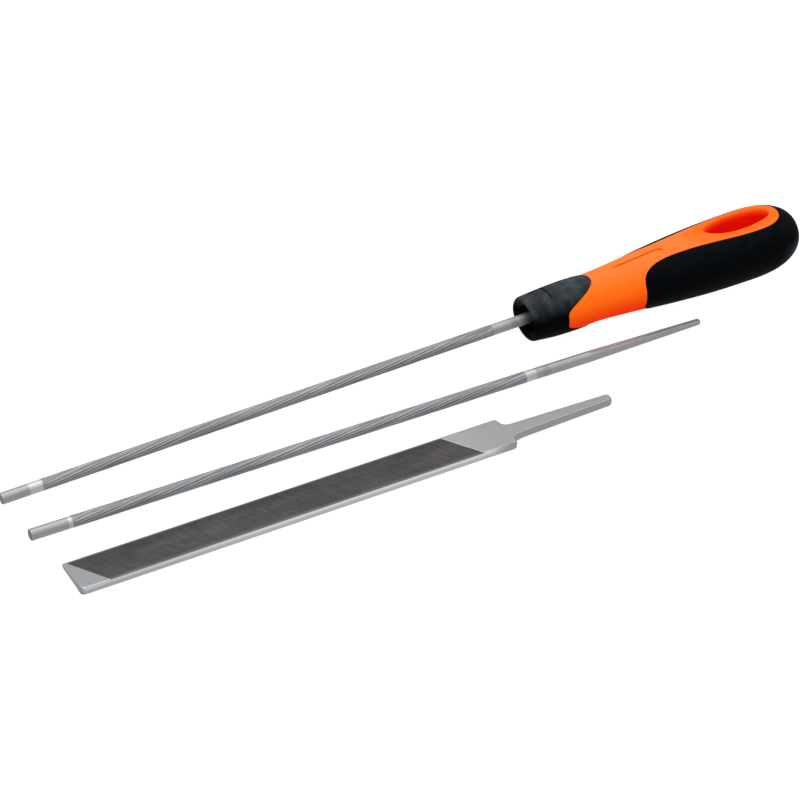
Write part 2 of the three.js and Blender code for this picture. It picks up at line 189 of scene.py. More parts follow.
class Wire:
    """A socket of a material's node tree, with arithmetic that adds its Math nodes."""

    def __init__(self, tree, socket=None):
        self.tree = tree
        self.socket = socket

    def node(self, kind, sockets=None, output=0, **settings):
        """Any node: its settings first, then the values or wires of its sockets."""
        made = self.tree.nodes.new(kind)
        for key, value in settings.items():
            setattr(made, key, value)
        for key, value in (sockets or {}).items():
            if isinstance(value, Wire):
                self.tree.links.new(value.socket, made.inputs[key])
            else:
                made.inputs[key].default_value = value
        return Wire(self.tree, made.outputs[output])

    def math(self, operation, *values):
        return self.node("ShaderNodeMath", dict(enumerate(values)), operation=operation)

    def __add__(self, other):
        return self.math("ADD", self, other)

    def __sub__(self, other):
        return self.math("SUBTRACT", self, other)

    def __rsub__(self, other):
        return self.math("SUBTRACT", other, self)

    def __mul__(self, other):
        return self.math("MULTIPLY", self, other)

    __radd__ = __add__
    __rmul__ = __mul__

    def between(self, low, high):
        """A smooth step from 0 at low to 1 at high."""
        sockets = {"Value": self, "From Min": low, "From Max": high}
        return self.node("ShaderNodeMapRange", sockets, interpolation_type="SMOOTHSTEP")

    def span(self, start, full, fade, end):
        """1 from full to fade, with a smooth rise from start and a smooth fall to end."""
        return self.between(start, full) * (1 - self.between(fade, end))

    def blend(self, first, second):
        """The first colour where this is 0 and the second where it is 1."""
        sockets = {0: self, 6: first, 7: second}
        return self.node("ShaderNodeMix", sockets, output=2, data_type="RGBA")


class Finish:
    """A material with one glossy shader, and the places and patterns that its looks use."""

    def __init__(self, name, place, **constants):
        self.material = bpy.data.materials.new(name)
        self.material.use_nodes = True
        tree = self.material.node_tree
        self.shader = tree.nodes["Principled BSDF"]
        self.wires = Wire(tree)
        for socket, value in constants.items():
            self.shader.inputs[socket.replace("_", " ")].default_value = value
        self.place = place

    def axes(self):
        """Along, across and up in the tool's own millimetres, as three wires."""
        own = self.wires.node("ShaderNodeTexCoord", output=3)
        back = np.array(self.place.inverted())
        parts = []
        for row in back[:3]:
            sockets = {0: own, 1: tuple(row[:3] / millimetre)}
            dot = self.wires.node("ShaderNodeVectorMath", sockets, output=1, operation="DOT_PRODUCT")
            parts.append(dot + float(row[3]))
        return parts

    def vector(self, x, y, z):
        return self.wires.node("ShaderNodeCombineXYZ", {0: x, 1: y, 2: z})

    def noise(self, vector, scale, detail=2.0, roughness=0.5):
        sockets = {"Vector": vector, "Scale": scale, "Detail": detail, "Roughness": roughness}
        return self.wires.node("ShaderNodeTexNoise", sockets)

    def bump(self, height, distance):
        sockets = {"Height": height, "Distance": distance * millimetre}
        return self.wires.node("ShaderNodeBump", sockets)

    def wall_line(self, along, across, ends, sides, corner, width):
        """1 along the wall of a sunk panel with round corners, in plan from above."""
        beyond = []
        for position, (low, high) in ((along, ends), (across, sides)):
            offset = self.wires.math("ABSOLUTE", position - (low + high) / 2)
            beyond.append(offset - (high - low) / 2 + corner)
        outside = [self.wires.math("MAXIMUM", part, 0.0) for part in beyond]
        reach = self.wires.math("SQRT", outside[0] * outside[0] + outside[1] * outside[1])
        inner = self.wires.math("MINIMUM", self.wires.math("MAXIMUM", *beyond), 0.0)
        from_wall = self.wires.math("ABSOLUTE", reach + inner - corner + width / 2)
        return 1 - from_wall.between(width / 3, width)

    def set(self, **looks):
        """Wires what varies over the surface to the shader."""
        for socket, value in looks.items():
            self.wires.tree.links.new(value.socket, self.shader.inputs[socket.replace("_", " ")])


def grey(level, warmth=0.0):
    """A steel colour from its brightness, a little warm or cool."""
    return (level * (1 + warmth), level, level * (1 - warmth), 1)


def round_file_steel(name, place, ring_start, heel_shine):
    """Plain ends, dull cut teeth between two bright ground bands, and a dark face at the tip."""
    steel = Finish(name, place, Metallic=1.0)
    along, across, up = steel.axes()
    grain = steel.noise(steel.vector(along * 0.15, across, up), scale=1.6, detail=4)
    patches = steel.noise(steel.vector(along * 0.05, across * 0.4, up * 0.4), scale=1.5, detail=3)
    toothed = along.span(teeth_start - 0.2, teeth_start + 0.2, teeth_end - 0.2, teeth_end + 0.2)
    band = along.span(ring_start - 0.2, ring_start + 0.2, teeth_start - 0.2, teeth_start)
    band_end = teeth_end + heel_band_length
    heel_band = along.span(teeth_end, teeth_end + 0.3, band_end - 0.2, band_end + 0.2)
    worn_start, worn_end = teeth_end + worn_ring[0], teeth_end + worn_ring[1]
    worn = along.span(worn_start, worn_start + 0.5, worn_end - 0.3, worn_end)
    spiral = (along - teeth_end) * float(2 * np.pi / flute_lead)
    turned = steel.wires.math("ARCTAN2", up, across) + spiral
    phase = (turned - float(tang_roll)) * flute_count
    # painted highlight on the flute crests and painted shade in the valleys, with streaks along the
    # spiral
    crest = steel.wires.math("COSINE", phase)
    streaks = steel.noise(steel.vector(phase * 0.3, along * 0.02, 0.0), scale=1.0, detail=3)
    crest_highlight_and_streaks = (crest * 0.16 + streaks).between(0.2, 0.8)
    plain = grain.blend(grey(0.26, -0.03), grey(0.37, -0.03))
    bright = patches.blend(grey(0.37, -0.03), grey(0.54, -0.03))
    # painted reflection: the cut teeth are cooler and a little darker on the underside, warmer on top
    cut_painted_cool_below = crest_highlight_and_streaks.blend(grey(0.11, -0.1), grey(0.34, -0.07))
    cut_painted_warm_above = crest_highlight_and_streaks.blend(grey(0.12, -0.04), grey(0.36, -0.02))
    cut = up.between(-0.8, 1.5).blend(cut_painted_cool_below, cut_painted_warm_above)
    # brown patches, on the upper side of the teeth only
    upper_brown_patches = patches.between(0.5, 0.65) * up.between(-0.5, 1) * 0.7
    cut_with_brown_patches = upper_brown_patches.blend(cut, (0.31, 0.285, 0.26, 1))
    colour = (worn * 0.8).blend(plain, grey(0.26, -0.04))
    colour = (band + heel_band * heel_shine).blend(colour, bright)
    colour = toothed.blend(colour, cut_with_brown_patches)
    colour = (along.between(0.05, 0.3) * 0.7 + 0.3).blend(grey(0.1, -0.04), colour)
    roughness = 0.46 + grain * 0.14
    steel.set(Base_Color=colour, Roughness=roughness, Normal=steel.bump(grain, 0.02))
    return steel.material


round_points, round_faces = round_file_mesh()
for name, node, body, place, ring_start, heel_shine in (
    ("round_file_in_handle", "round_file", "handled_file", handled_place, 9.3, 0.1),
    ("spare_round_file_steel", "spare_round_file", "spare_file", spare_place, 12.5, 1.0),
):
    file = make_piece(name, round_points, round_faces, place)
    file.data.materials.append(round_file_steel(name + "_finish", place, ring_start, heel_shine))
    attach(file, body)
    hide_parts(node)


# Handle core: one shot of hard orange plastic with a socket for the tang, moulded first.
# It stays bare between the two rubber parts, along the top and underside, and in the hole.

handle_length = 107.3
belly_radius = 12
butt_rounding, butt_power = 22, 2.6
file_reach, tang_off_centre = 187.4, 0.45
outline_shares = [
    (0, 0.645), (0.073, 0.69), (0.154, 0.712), (0.238, 0.698), (0.313, 0.735),
    (0.412, 0.81), (0.522, 0.9), (0.641, 0.97), (0.77, 1), (1, 1),
]
collar_side, collar_tongue = 12.7, 25.3
tongue_from, tongue_to, tongue_power = np.radians(20), np.radians(83), 0.715
tongue_softening = np.radians((-7, -3.5, 0, 3.5, 7))
grip_start = 42.45
strip_neck, strip_bulge = 9.26, 14.26
flare_length, flare_rise = 10, 4.2
strip_end_to_butt, strip_end_length, strip_end_power = 7.6, 12.4, 2.5
hole_length, hole_width, hole_to_butt, hole_rim = 25.8, 8.8, 23.6, 1.4
mouth_radius, mouth_depth, lip_depth = 4.9, 12, 5.0
socket_radius, socket_depth = 2.5, 56.9
seat_gap = 0.05
recess_depth = 1.5
core_edge = 0.12
around_steps, along_step, profile_samples, hole_steps = 84, 0.55, 400, 240
well_clear = 9

handle_place = handled_place @ Matrix.Translation((file_reach, 0, -tang_off_centre))


def through(points, steps):
    """A smooth curve through points, as many steps as asked between each two."""
    padded = np.array([2 * points[0] - points[1], *points, 2 * points[-1] - points[-2]])
    curve = []
    for i in range(1, len(padded) - 2):
        before, start, stop, after = padded[i - 1:i + 3]
        for t in np.arange(steps) / steps:
            out, back = (stop - before) / 2, (after - start) / 2
            curve.append(start * (2 * t ** 3 - 3 * t ** 2 + 1) + stop * (3 * t ** 2 - 2 * t ** 3)
                         + out * (t ** 3 - 2 * t ** 2 + t) + back * (t ** 3 - t ** 2))
    return np.array([*curve, points[-1]])


handle_outline = through(np.array(outline_shares) * (handle_length, belly_radius), steps=12)


def handle_radius(along):
    """The outline's radius, rounded off over the butt."""
    into_butt = np.clip((along - handle_length + butt_rounding) / butt_rounding, 0, 1)
    return np.interp(along, *handle_outline.T) * (1 - into_butt ** butt_power) ** (1 / butt_power)


def outer_profile(start, end):
    """Evenly spaced [along, radius] points of the outline between two places."""
    share = np.linspace(0, 1, profile_samples)
    if end >= handle_length:
        share = 1 - np.linspace(1, 0, profile_samples) ** 3
    along = start + (end - start) * share
    fine = np.c_[along, handle_radius(along)]
    run = np.r_[0, np.cumsum(np.hypot(*np.diff(fine, axis=0).T))]
    even = np.linspace(0, run[-1], int(run[-1] / along_step) + 1)
    return np.c_[np.interp(even, run, fine[:, 0]), np.interp(even, run, fine[:, 1])]


def profile_normals(profile):
    """Outward directions square to a profile that runs from the front to the butt."""
    run = np.gradient(profile, axis=0)
    square = np.c_[-run[:, 1], run[:, 0]]
    square[profile[:, 1] == 0] = 1, 0
    return square / np.linalg.norm(square, axis=1)[:, None]


class Skin:
    """The upper half of a turned surface as triangles. Each row holds a place, the
    direction square to the surface there, and distances to the edges that cross it."""

    def __init__(self, profile, directions):
        angles = np.linspace(0, np.pi, around_steps + 1)
        cosine, sine = -np.cos(angles), np.sin(angles)
        sine[[0, -1]] = 0
        rows = []
        for (along, radius), (out_along, out) in zip(profile, directions):
            full = np.ones_like(angles)
            rows.append(np.c_[along * full, radius * cosine, radius * sine,
                              out_along * full, out * cosine, out * sine])
        self.rows = np.vstack(rows)
        count = around_steps + 1
        corner = np.arange(count - 1)
        faces = []
        for ring in range(len(profile) - 1):
            a, b = ring * count + corner, (ring + 1) * count + corner
            faces.append(np.r_[np.c_[a, a + 1, b + 1], np.c_[a, b + 1, b]])
        self.faces = np.vstack(faces)

    def add(self, distances):
        """Keeps one more distance for each point, and says in which column."""
        self.rows = np.c_[self.rows, distances]
        return self.rows.shape[1] - 1

    def cut(self, column, *levels):
        """Splits the triangles along the lines where a distance has these levels."""
        for level in levels:
            side = self.rows[:, column] - level
            self.rows[abs(side) < 0.02, column] = level
            side = self.rows[:, column] - level
            low, high = side[self.faces].min(1), side[self.faces].max(1)
            crossed = (low < 0) & (high > 0)
            rows, made, split = list(self.rows), {}, []

            def crossing(a, b):
                key = (min(a, b), max(a, b))
                if key not in made:
                    first, second = key
                    share = side[first] / (side[first] - side[second])
                    row = rows[first] + (rows[second] - rows[first]) * share
                    row[column] = level
                    made[key] = len(rows)
                    rows.append(row)
                return made[key]

            for a, b, c in self.faces[crossed]:
                while not (side[a] == 0 or side[a] * side[b] < 0 and side[a] * side[c] < 0):
                    a, b, c = b, c, a
                if side[a] == 0:
                    middle = crossing(b, c)
                    split += [(a, b, middle), (a, middle, c)]
                else:
                    ab, ac = crossing(a, b), crossing(a, c)
                    split += [(a, ab, ac), (ab, b, c), (ab, c, ac)]
            self.rows = np.array(rows)
            self.faces = np.vstack([self.faces[~crossed], np.array(split, int).reshape(-1, 3)])

    def middle(self, column):
        """Each triangle's own distance, from its three corners."""
        return self.rows[self.faces, column].mean(1)

    def keep(self, wanted):
        self.faces = self.faces[wanted]

    def edges(self, faces):
        """The directed edges that only one of these triangles has."""
        sides = np.vstack([faces[:, [0, 1]], faces[:, [1, 2]], faces[:, [2, 0]]])
        there = {tuple(side) for side in sides}
        return np.array([side for side in sides if (side[1], side[0]) not in there])


def distance_to(points, line):
    """The distance from each point to the nearest stretch of a line of points."""
    start, stop = line[:-1], line[1:]
    run = stop - start
    length = np.maximum((run ** 2).sum(1), 1e-12)
    nearest = []
    for some in np.array_split(points, max(len(points) // 1500, 1)):
        offset = some[:, None] - start
        share = np.clip((offset * run).sum(2) / length, 0, 1)
        nearest.append(np.sqrt(((offset - share[..., None] * run) ** 2).sum(2).min(1)))
    return np.concatenate(nearest)


def collar_edge(height):
    """How far the collar reaches along the handle at a height above its middle."""
    lean = np.arcsin(np.clip(abs(height) / handle_radius(collar_tongue), 0, 1))
    reach = 0
    for turn in tongue_softening:
        share = np.clip((lean + turn - tongue_from) / (tongue_to - tongue_from), 0, 1) ** tongue_power
        reach = reach + eased(share, 0, 1) / len(tongue_softening)
    return collar_side + (collar_tongue - collar_side) * reach


def strip_outline():
    """Plan view of half the bare strip: a flare, a neck and a bulb round the hole."""
    turn = np.linspace(0, np.pi / 2, 40)
    neck, bulge = strip_neck / 2, strip_bulge / 2
    flare_end = grip_start + flare_length
    end = handle_length - strip_end_to_butt
    widest = end - strip_end_length
    flare = np.c_[flare_end - flare_length * np.cos(turn), neck + flare_rise * (1 - np.sin(turn))]
    along = np.linspace(flare_end, widest, 60)[1:]
    swell = np.c_[along, neck + (bulge - neck) * eased(along, flare_end, widest)]
    power = 2 / strip_end_power
    bulb = np.c_[widest + strip_end_length * np.sin(turn) ** power, bulge * np.cos(turn) ** power]
    bulb[-1] = end, 0
    return np.vstack([flare, swell, bulb[1:]])


strip_line = strip_outline()


def on_handle(along, across):
    """Points on top of the outline from their places in plan."""
    height = np.sqrt(np.maximum(handle_radius(along) ** 2 - across ** 2, 0))
    return np.c_[along, across, height]


def collar_distance(rows):
    """Positive on the collar, negative behind its edge."""
    angles = np.radians(np.arange(-60, 241))
    edge_radius = handle_radius(collar_tongue)
    along = collar_edge(edge_radius * np.sin(angles))
    radius = handle_radius(along)
    line = np.c_[along, -radius * np.cos(angles), radius * np.sin(angles)]
    lean = np.arctan2(rows[:, 2], abs(rows[:, 1]))
    inside = rows[:, 0] < collar_edge(edge_radius * np.sin(lean))
    return distance_to(rows[:, :3], line) * np.where(inside, 1, -1)


def grip_distance(rows):
    """Positive on the rear grip, negative on the bare strip and in front of the grip."""
    near = on_handle(*strip_line.T)
    far = near[::-1] * (1, -1, 1)
    start_radius = handle_radius(grip_start)
    lowest = np.arcsin(near[0, 2] / start_radius)
    turn = np.linspace(-lowest, lowest, 60)
    front = np.c_[np.full(60, grip_start), start_radius * np.cos(turn), start_radius * np.sin(turn)]
    line = np.vstack([front, near, far, front[::-1] * (1, -1, 1)])
    half = np.interp(rows[:, 0], *strip_line.T, right=-1)
    inside = (rows[:, 0] > grip_start) & (abs(rows[:, 1]) > half)
    return distance_to(rows[:, :3], line) * np.where(inside, 1, -1)


def hole_distance(rows):
    """Distance in plan from the hanging hole's wall, negative inside the hole."""
    centre = handle_length - hole_to_butt
    turn = np.linspace(0, 2 * np.pi, hole_steps + 1)
    line = np.c_[centre + hole_length / 2 * np.cos(turn), hole_width / 2 * np.sin(turn)]
    plan = np.c_[(rows[:, 0] - centre) / (hole_length / 2), rows[:, 1] / (hole_width / 2)]
    inside = (plan ** 2).sum(1) < 1
    return distance_to(rows[:, :2], line) * np.where(inside, -1, 1)


def rounded(distance, size):
    """How far a rounded edge falls at a distance from the edge's foot."""
    inward = np.clip(size - distance, 0, size)
    return size - np.sqrt(size ** 2 - inward ** 2)


def sunk_panel(rows, start, end, top, bottom, corner):
    """Distance into a panel with round corners, laid out along the handle and round it."""
    radius = handle_radius((start + end) / 2)
    middle = np.array([(start + end) / 2, radius * (top + bottom) / 2])
    half = np.array([(end - start) / 2, radius * (top - bottom) / 2])
    angle = np.arctan2(rows[:, 2], -rows[:, 1])
    beyond = abs(np.c_[rows[:, 0], radius * angle] - middle) - half + corner
    outside = np.linalg.norm(np.maximum(beyond, 0), axis=1)
    return corner - outside - np.minimum(beyond.max(1), 0)


def joined_halves(upper, lower):
    """The points and faces of an upper half and of a lower half that mirrors it."""
    (points, faces), (low_points, low_faces) = upper, lower
    flipped = [tuple(i + len(points) for i in face[::-1]) for face in low_faces]
    return np.vstack([points, low_points * (1, 1, -1)]), [*faces, *flipped]


label_start, label_end = 32.8, 53.6
label_top, label_bottom = np.radians(93), np.radians(20)
label_depth, label_wall, label_corner = 0.45, 0.3, 2.2
label_fade, label_fade_length = np.radians((74, 88)), 5


def core_skin():
    """The core's skin from the bottom of the socket to the butt, cut along its edges."""
    socket = [(socket_depth, 0), (socket_depth, socket_radius), (mouth_depth, socket_radius),
              (mouth_depth, mouth_radius), (lip_depth + seat_gap, mouth_radius)]
    outer = outer_profile(lip_depth + seat_gap, handle_length)
    profile = np.vstack([socket, outer])
    directions = np.vstack([np.zeros((len(socket), 2)), profile_normals(outer)])
    skin = Skin(profile, directions)
    bare = skin.add(-np.maximum(collar_distance(skin.rows), grip_distance(skin.rows)) - seat_gap)
    skin.rows[:len(socket) * (around_steps + 1), bare] = -well_clear
    skin.cut(bare, 0, core_edge / 4, core_edge / 2, core_edge)
    hole = skin.add(hole_distance(skin.rows))
    skin.cut(hole, 0, 0.1, 0.3, 0.6, 1, hole_rim)
    skin.keep(~((skin.middle(hole) < 0) & (skin.middle(bare) > 0)))
    panel = sunk_panel(skin.rows, label_start, label_end, label_top, label_bottom, label_corner)
    label = skin.add(panel)
    skin.cut(label, 0, label_wall / 2, label_wall)
    return skin, bare, hole, label


def core_half(skin, bare, hole, label, with_label):
    """The bare surface, the recess floor under the rubber, and the step between them."""
    rows = skin.rows
    fall = rounded(rows[:, bare], core_edge)
    if with_label:
        angle = np.arctan2(rows[:, 2], -rows[:, 1])
        fade = eased(angle, *label_fade)
        fade = fade * eased(rows[:, 0], label_start, label_start + label_fade_length)
        fall = fall + label_depth * eased(rows[:, label], 0, label_wall) * fade
    top = rows[:, :3] - rows[:, 3:6] * fall[:, None]
    top[:, 2] -= np.where(rows[:, bare] > 0, rounded(rows[:, hole], hole_rim), 0)
    floor = rows[:, :3] - rows[:, 3:6] * recess_depth
    shown = skin.middle(bare) > 0
    count = len(rows)
    faces = [tuple(face) for face in skin.faces[shown]]
    faces += [tuple(face + count) for face in skin.faces[~shown]]
    for a, b in skin.edges(skin.faces[shown]):
        if rows[a, bare] == 0 and rows[b, bare] == 0:
            faces.append((b, a, a + count, b + count))
    return np.vstack([top, floor]), faces


skin, bare, hole, label = core_skin()
upper = core_half(skin, bare, hole, label, with_label=True)
lower = core_half(skin, bare, hole, label, with_label=False)
core_points, core_faces = joined_halves(upper, lower)
below = len(upper[0])
for a, b in skin.edges(skin.faces[skin.middle(bare) > 0]):
    if skin.rows[a, hole] == 0 and skin.rows[b, hole] == 0:
        core_faces.append((b, a, a + below, b + below))

core = make_piece("handle_core_orange", core_points, core_faces, handle_place)

# lit and shaded copies of one orange, as painted light: redder below, the side colour, paler on top,
# and redder round and in the hole and in the recess's corner
orange_painted_shade_under, orange_side = (1, 0.015, 0.0001, 1), (1, 0.14, 0.007, 1)
orange_painted_highlight_top, orange_painted_shade_near_hole = (0.98, 0.16, 0.03, 1), (1, 0.1, 0.002, 1)
orange_painted_shade_in_hole, orange_painted_shade_in_corner = (0.85, 0.01, 0.0005, 1), (0.5, 0.08, 0.003, 1)


def orange_plastic():
    """Satin moulded plastic, coloured right through. Its colour carries painted shade, redder
    underneath, round and in the hole, along part of the label recess's wall and near black in the
    mouth, and a paler painted highlight on top.
    """
    plastic = Finish("orange_plastic", handle_place, IOR=1.48, Specular_IOR_Level=0.005)
    along, across, up = plastic.axes()
    mottle = plastic.noise(plastic.vector(along, across, up), scale=0.35, detail=3)
    grain = plastic.noise(plastic.vector(along, across, up), scale=3.0, detail=2)
    # painted shade low down and painted highlight high up, by height
    upper = (up + mottle * 2).between(-6.5, 6)
    colour = upper.blend(orange_painted_shade_under, orange_side)
    colour = (up + mottle).between(5, 10).blend(colour, orange_painted_highlight_top)
    # painted shade: redder round the hanging hole's rim
    from_hole = (along - (handle_length - hole_to_butt)) * (2 / hole_length)
    beside_hole = across * (2 / hole_width)
    reach = from_hole * from_hole + beside_hole * beside_hole
    colour = ((1 - reach.between(1.3, 3.4)) * 0.6).blend(colour, orange_painted_shade_near_hole)
    # painted shade: deep red on the hole's walls
    outside = reach.between(1.02, 1.4)
    hole_painted_shade = (1 - outside) * (1 - plastic.wires.math("ABSOLUTE", up).between(7.8, 10.9))
    colour = hole_painted_shade.blend(colour, orange_painted_shade_in_hole)
    # painted shade: a dark line along part of the label recess's wall
    far_side = float(-handle_radius(label_start) * np.cos(label_top))
    ends, sides = (label_start, label_end), (-9, far_side)
    line = plastic.wall_line(along, across, ends, sides, label_corner, label_wall)
    line = line * up.between(0, 1) * across.between(-2.4, -0.6)
    line = line * along.between(label_start + 0.5, label_start + 2)
    colour = (line * 0.85).blend(colour, orange_painted_shade_in_corner)
    # painted shade: the core's bore inside the mouth is painted near black
    colour = along.between(mouth_depth + 0.2, mouth_depth + 0.4).blend(grey(0.002), colour)
    roughness = 0.36 + mottle * 0.1
    plastic.set(Base_Color=colour, Roughness=roughness, Normal=plastic.bump(grain, 0.012))
    return plastic.material


core.data.materials.append(orange_plastic())
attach(core, "handle")
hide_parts("handle_core")


# Front collar: soft black rubber moulded over the front of the core, with a rounded nose,
# a funnel into the mouth, a tongue above and below, and a shallow bare panel on top.

rubber_proud = 0.2
nose_rounding, mouth_lead_in = 1.1, 1.5
nose_flattening, flattened_length = 0.06, 11
nose_setback, setback_length = 0.5, 6
rubber_depth = 1.2
rubber_edge = 0.35
rubber_levels = (0, 0.03, 0.08, 0.16, 0.25, rubber_edge)
panel_start, panel_end = 3.0, 9.2
panel_top, panel_bottom = np.radians(118), np.radians(60)
panel_depth, panel_wall, panel_corner, panel_fade = 0.4, 0.3, 1.6, np.radians(20)
# the collar's own near black, a paler painted light for its upper side, and a painted highlight for
# the butt's rim
collar_dark, collar_painted_light, butt_painted_highlight = grey(0.001, -0.4), grey(0.06, -0.16), (0.028, 0.038, 0.055, 1)


def rubber_shell(skin, edge, panel, with_panel):
    """A closed half shell: the outside, the inside a little deeper, and the walls between."""
    rows = skin.rows
    rise = rubber_proud - rounded(rows[:, edge], rubber_edge)
    if with_panel:
        angle = np.arctan2(rows[:, 2], -rows[:, 1])
        fade = eased(angle, panel_bottom, panel_bottom + panel_fade)
        rise = rise - panel_depth * eased(rows[:, panel], 0, panel_wall) * fade
    outside = rows[:, :3] + rows[:, 3:6] * rise[:, None]
    inside = rows[:, :3] - rows[:, 3:6] * rubber_depth
    count = len(rows)
    faces = [tuple(face) for face in skin.faces]
    faces += [tuple(face[::-1] + count) for face in skin.faces]
    for a, b in skin.edges(skin.faces):
        if rows[a, 2] > 1e-6 or rows[b, 2] > 1e-6:
            faces.append((b, a, a + count, b + count))
    return np.vstack([outside, inside]), faces


def collar_skin():
    """The collar's skin from inside the mouth, over the nose and back to its tongue."""
    nose_radius = handle_radius(nose_rounding) + rubber_proud - nose_rounding
    bore = mouth_radius + rubber_proud
    lip = [(lip_depth, bore), ((lip_depth + mouth_lead_in) / 2, bore)]
    turn = np.linspace(0, np.pi / 2, 9)
    cone = np.linspace(0, 1, 6)[:, None] ** 0.8
    nose_foot = np.array([rubber_proud + 0.08, nose_radius - 0.12])
    lead_in = (mouth_lead_in, bore) + cone * (nose_foot - (mouth_lead_in, bore))
    rounding = nose_rounding - rubber_proud
    nose = np.c_[nose_rounding - rounding * np.cos(turn), nose_radius + rounding * np.sin(turn)]
    outer = outer_profile(nose_rounding, collar_tongue + 2)[1:]
    profile = np.vstack([lip, lead_in, nose, outer])
    skin = Skin(profile, profile_normals(profile))
    edge = skin.add(collar_distance(skin.rows))
    skin.rows[:(len(profile) - len(outer)) * (around_steps + 1), edge] = well_clear
    skin.cut(edge, *rubber_levels)
    skin.keep(skin.middle(edge) > 0)
    sunk = sunk_panel(skin.rows, panel_start, panel_end, panel_top, panel_bottom, panel_corner)
    panel = skin.add(sunk)
    skin.cut(panel, 0, panel_wall / 2, panel_wall)
    return skin, edge, panel


def black_rubber(name, dark, pale, wall_shade=0.0):
    """Soft black rubber with the fine grain of its mould, patchy painted light on its upper side and
    nose, painted shade along a panel's wall, and a painted highlight round the butt's lower rim.
    """
    rubber = Finish(name, handle_place, IOR=1.45, Specular_IOR_Level=0.02)
    along, across, up = rubber.axes()
    place = rubber.vector(along, across, up)
    grain = rubber.noise(place, scale=2.2, detail=3, roughness=0.6)
    cloud = rubber.noise(place, scale=0.25, detail=3)
    speck = rubber.noise(place, scale=1.4, detail=4, roughness=0.75)
    patchy = 0.55 + cloud.between(0.3, 0.7) * 0.45
    # painted light: paler and patchy on the upper side
    painted_top_light = (up + cloud * 3).between(3.5, 12) * patchy * (0.7 + speck.between(0.3, 0.7) * 0.45)
    # a brighter painted highlight on the nose's crest
    painted_top_light = painted_top_light * (1.6 - along.between(0.4, 2.4) * 0.6)
    if wall_shade:
        ends, sides = (panel_start, panel_end), (-6, 6)
        line = rubber.wall_line(along, across, ends, sides, panel_corner, panel_wall)
        line = line * up.between(4, 5) * across.between(-4.6, -2.6)
        line = line * along.between(panel_end - 2.5, panel_end - 1)
        painted_top_light = painted_top_light * (1 - line * wall_shade)
    roughness = 0.5 + cloud * 0.15 + grain * 0.1
    # painted highlight: bluish grey round the lower rim of the butt
    butt_highlight_mask = along.between(95, 105) * (1 - up.between(-3, 3))
    colour = butt_highlight_mask.blend(painted_top_light.blend(dark, pale), butt_painted_highlight)
    rubber.set(Base_Color=colour, Roughness=roughness, Normal=rubber.bump(grain, 0.05))
    return rubber.material


skin, edge, panel = collar_skin()
halves = [rubber_shell(skin, edge, panel, with_panel) for with_panel in (True, False)]
underside = halves[1][0]
at_front = 1 - eased(underside[:, 0], 0, setback_length)
setback = nose_setback * underside[:, 2] / handle_radius(0) * at_front
underside[:, 2] *= 1 - nose_flattening * (1 - eased(underside[:, 0], 0, flattened_length))
underside[:, 0] += setback
collar = make_piece("front_collar_rubber", *joined_halves(*halves), handle_place)
collar.data.materials.append(black_rubber("collar_rubber", collar_dark, collar_painted_light, wall_shade=0.85))
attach(collar, "handle")
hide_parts("front_collar")


# Rear grip: the same black rubber, moulded over both sides and the butt of the core. It
# stands a little proud of the orange strip, with a soft round edge all along it.


def grip_skin():
    """The grip's skin from just in front of it to the butt, cut along the bare strip."""
    outer = outer_profile(grip_start - 1, handle_length)
    outer[:, 0] -= rubber_proud * eased(outer[:, 0], handle_length - butt_rounding, handle_length)
    skin = Skin(outer, profile_normals(outer))
    edge = skin.add(grip_distance(skin.rows))
    skin.cut(edge, *rubber_levels)
    skin.keep(skin.middle(edge) > 0)
    return skin, edge


skin, edge = grip_skin()
half = rubber_shell(skin, edge, panel=None, with_panel=False)
grip = make_piece("rear_grip_rubber", *joined_halves(half, half), handle_place)
grip_dark, grip_painted_light = grey(0.0012, -0.4), grey(0.005, -0.3)
grip.data.materials.append(black_rubber("grip_rubber", grip_dark, grip_painted_light))
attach(grip, "handle")
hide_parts("rear_grip")


# Flat file: a hardened steel bar with rounded edges, single-cut slanting teeth on both
# faces, a plain heel and a tang that narrows to its end. Its tip is ground back underneath.

blade_length, blade_width, blade_thickness = 152.4, 14.5, 2.8
blade_edge, blade_corner, far_corner = 0.6, 1.3, 0.7
edge_fullness = 0.8
flat_tang, neck_width, end_width, neck_offset = 38.8, 6.3, 3.6, 0.2
near_sweep, shoulder_fillet, tang_end_radius = 5.5, 3, 1.6
tip_undercut, far_reach = 1.1, 0.5
cut_pitch, cut_depth, cut_relief = 0.55, 0.07, 0.03
cut_angle = np.radians(32)
cut_start, cut_length = 0.8, 130.6
rack_height = 2
cut_from = cut_start + blade_width / 2 * np.tan(cut_angle)

flat_place = beside_handled(side_step=39.45 + blade_width / 2, tip_step=3.7, height=0, yaw=1.06)


def rounded_outline(corners, steps=6):
    """A closed outline from its corners: x, y and how far each is rounded, back and on."""
    outline = []
    count = len(corners)
    for i, (x, y, *sizes) in enumerate(corners):
        here = np.array([x, y])
        before = np.array(corners[i - 1][:2]) - here
        after = np.array(corners[(i + 1) % count][:2]) - here
        start = here + sizes[0] * before / np.linalg.norm(before)
        stop = here + sizes[-1] * after / np.linalg.norm(after)
        for t in np.linspace(0, 1, steps + 1):
            outline.append((1 - t) ** 2 * start + 2 * t * (1 - t) * here + t ** 2 * stop)
    return np.array(outline)


def moved_in(outline, distance):
    """The outline moved inward, for one that runs against the clock seen from above."""
    run = np.roll(outline, -1, axis=0) - np.roll(outline, 1, axis=0)
    inward = np.c_[-run[:, 1], run[:, 0]] / np.linalg.norm(run, axis=1)[:, None]
    return outline + inward * distance


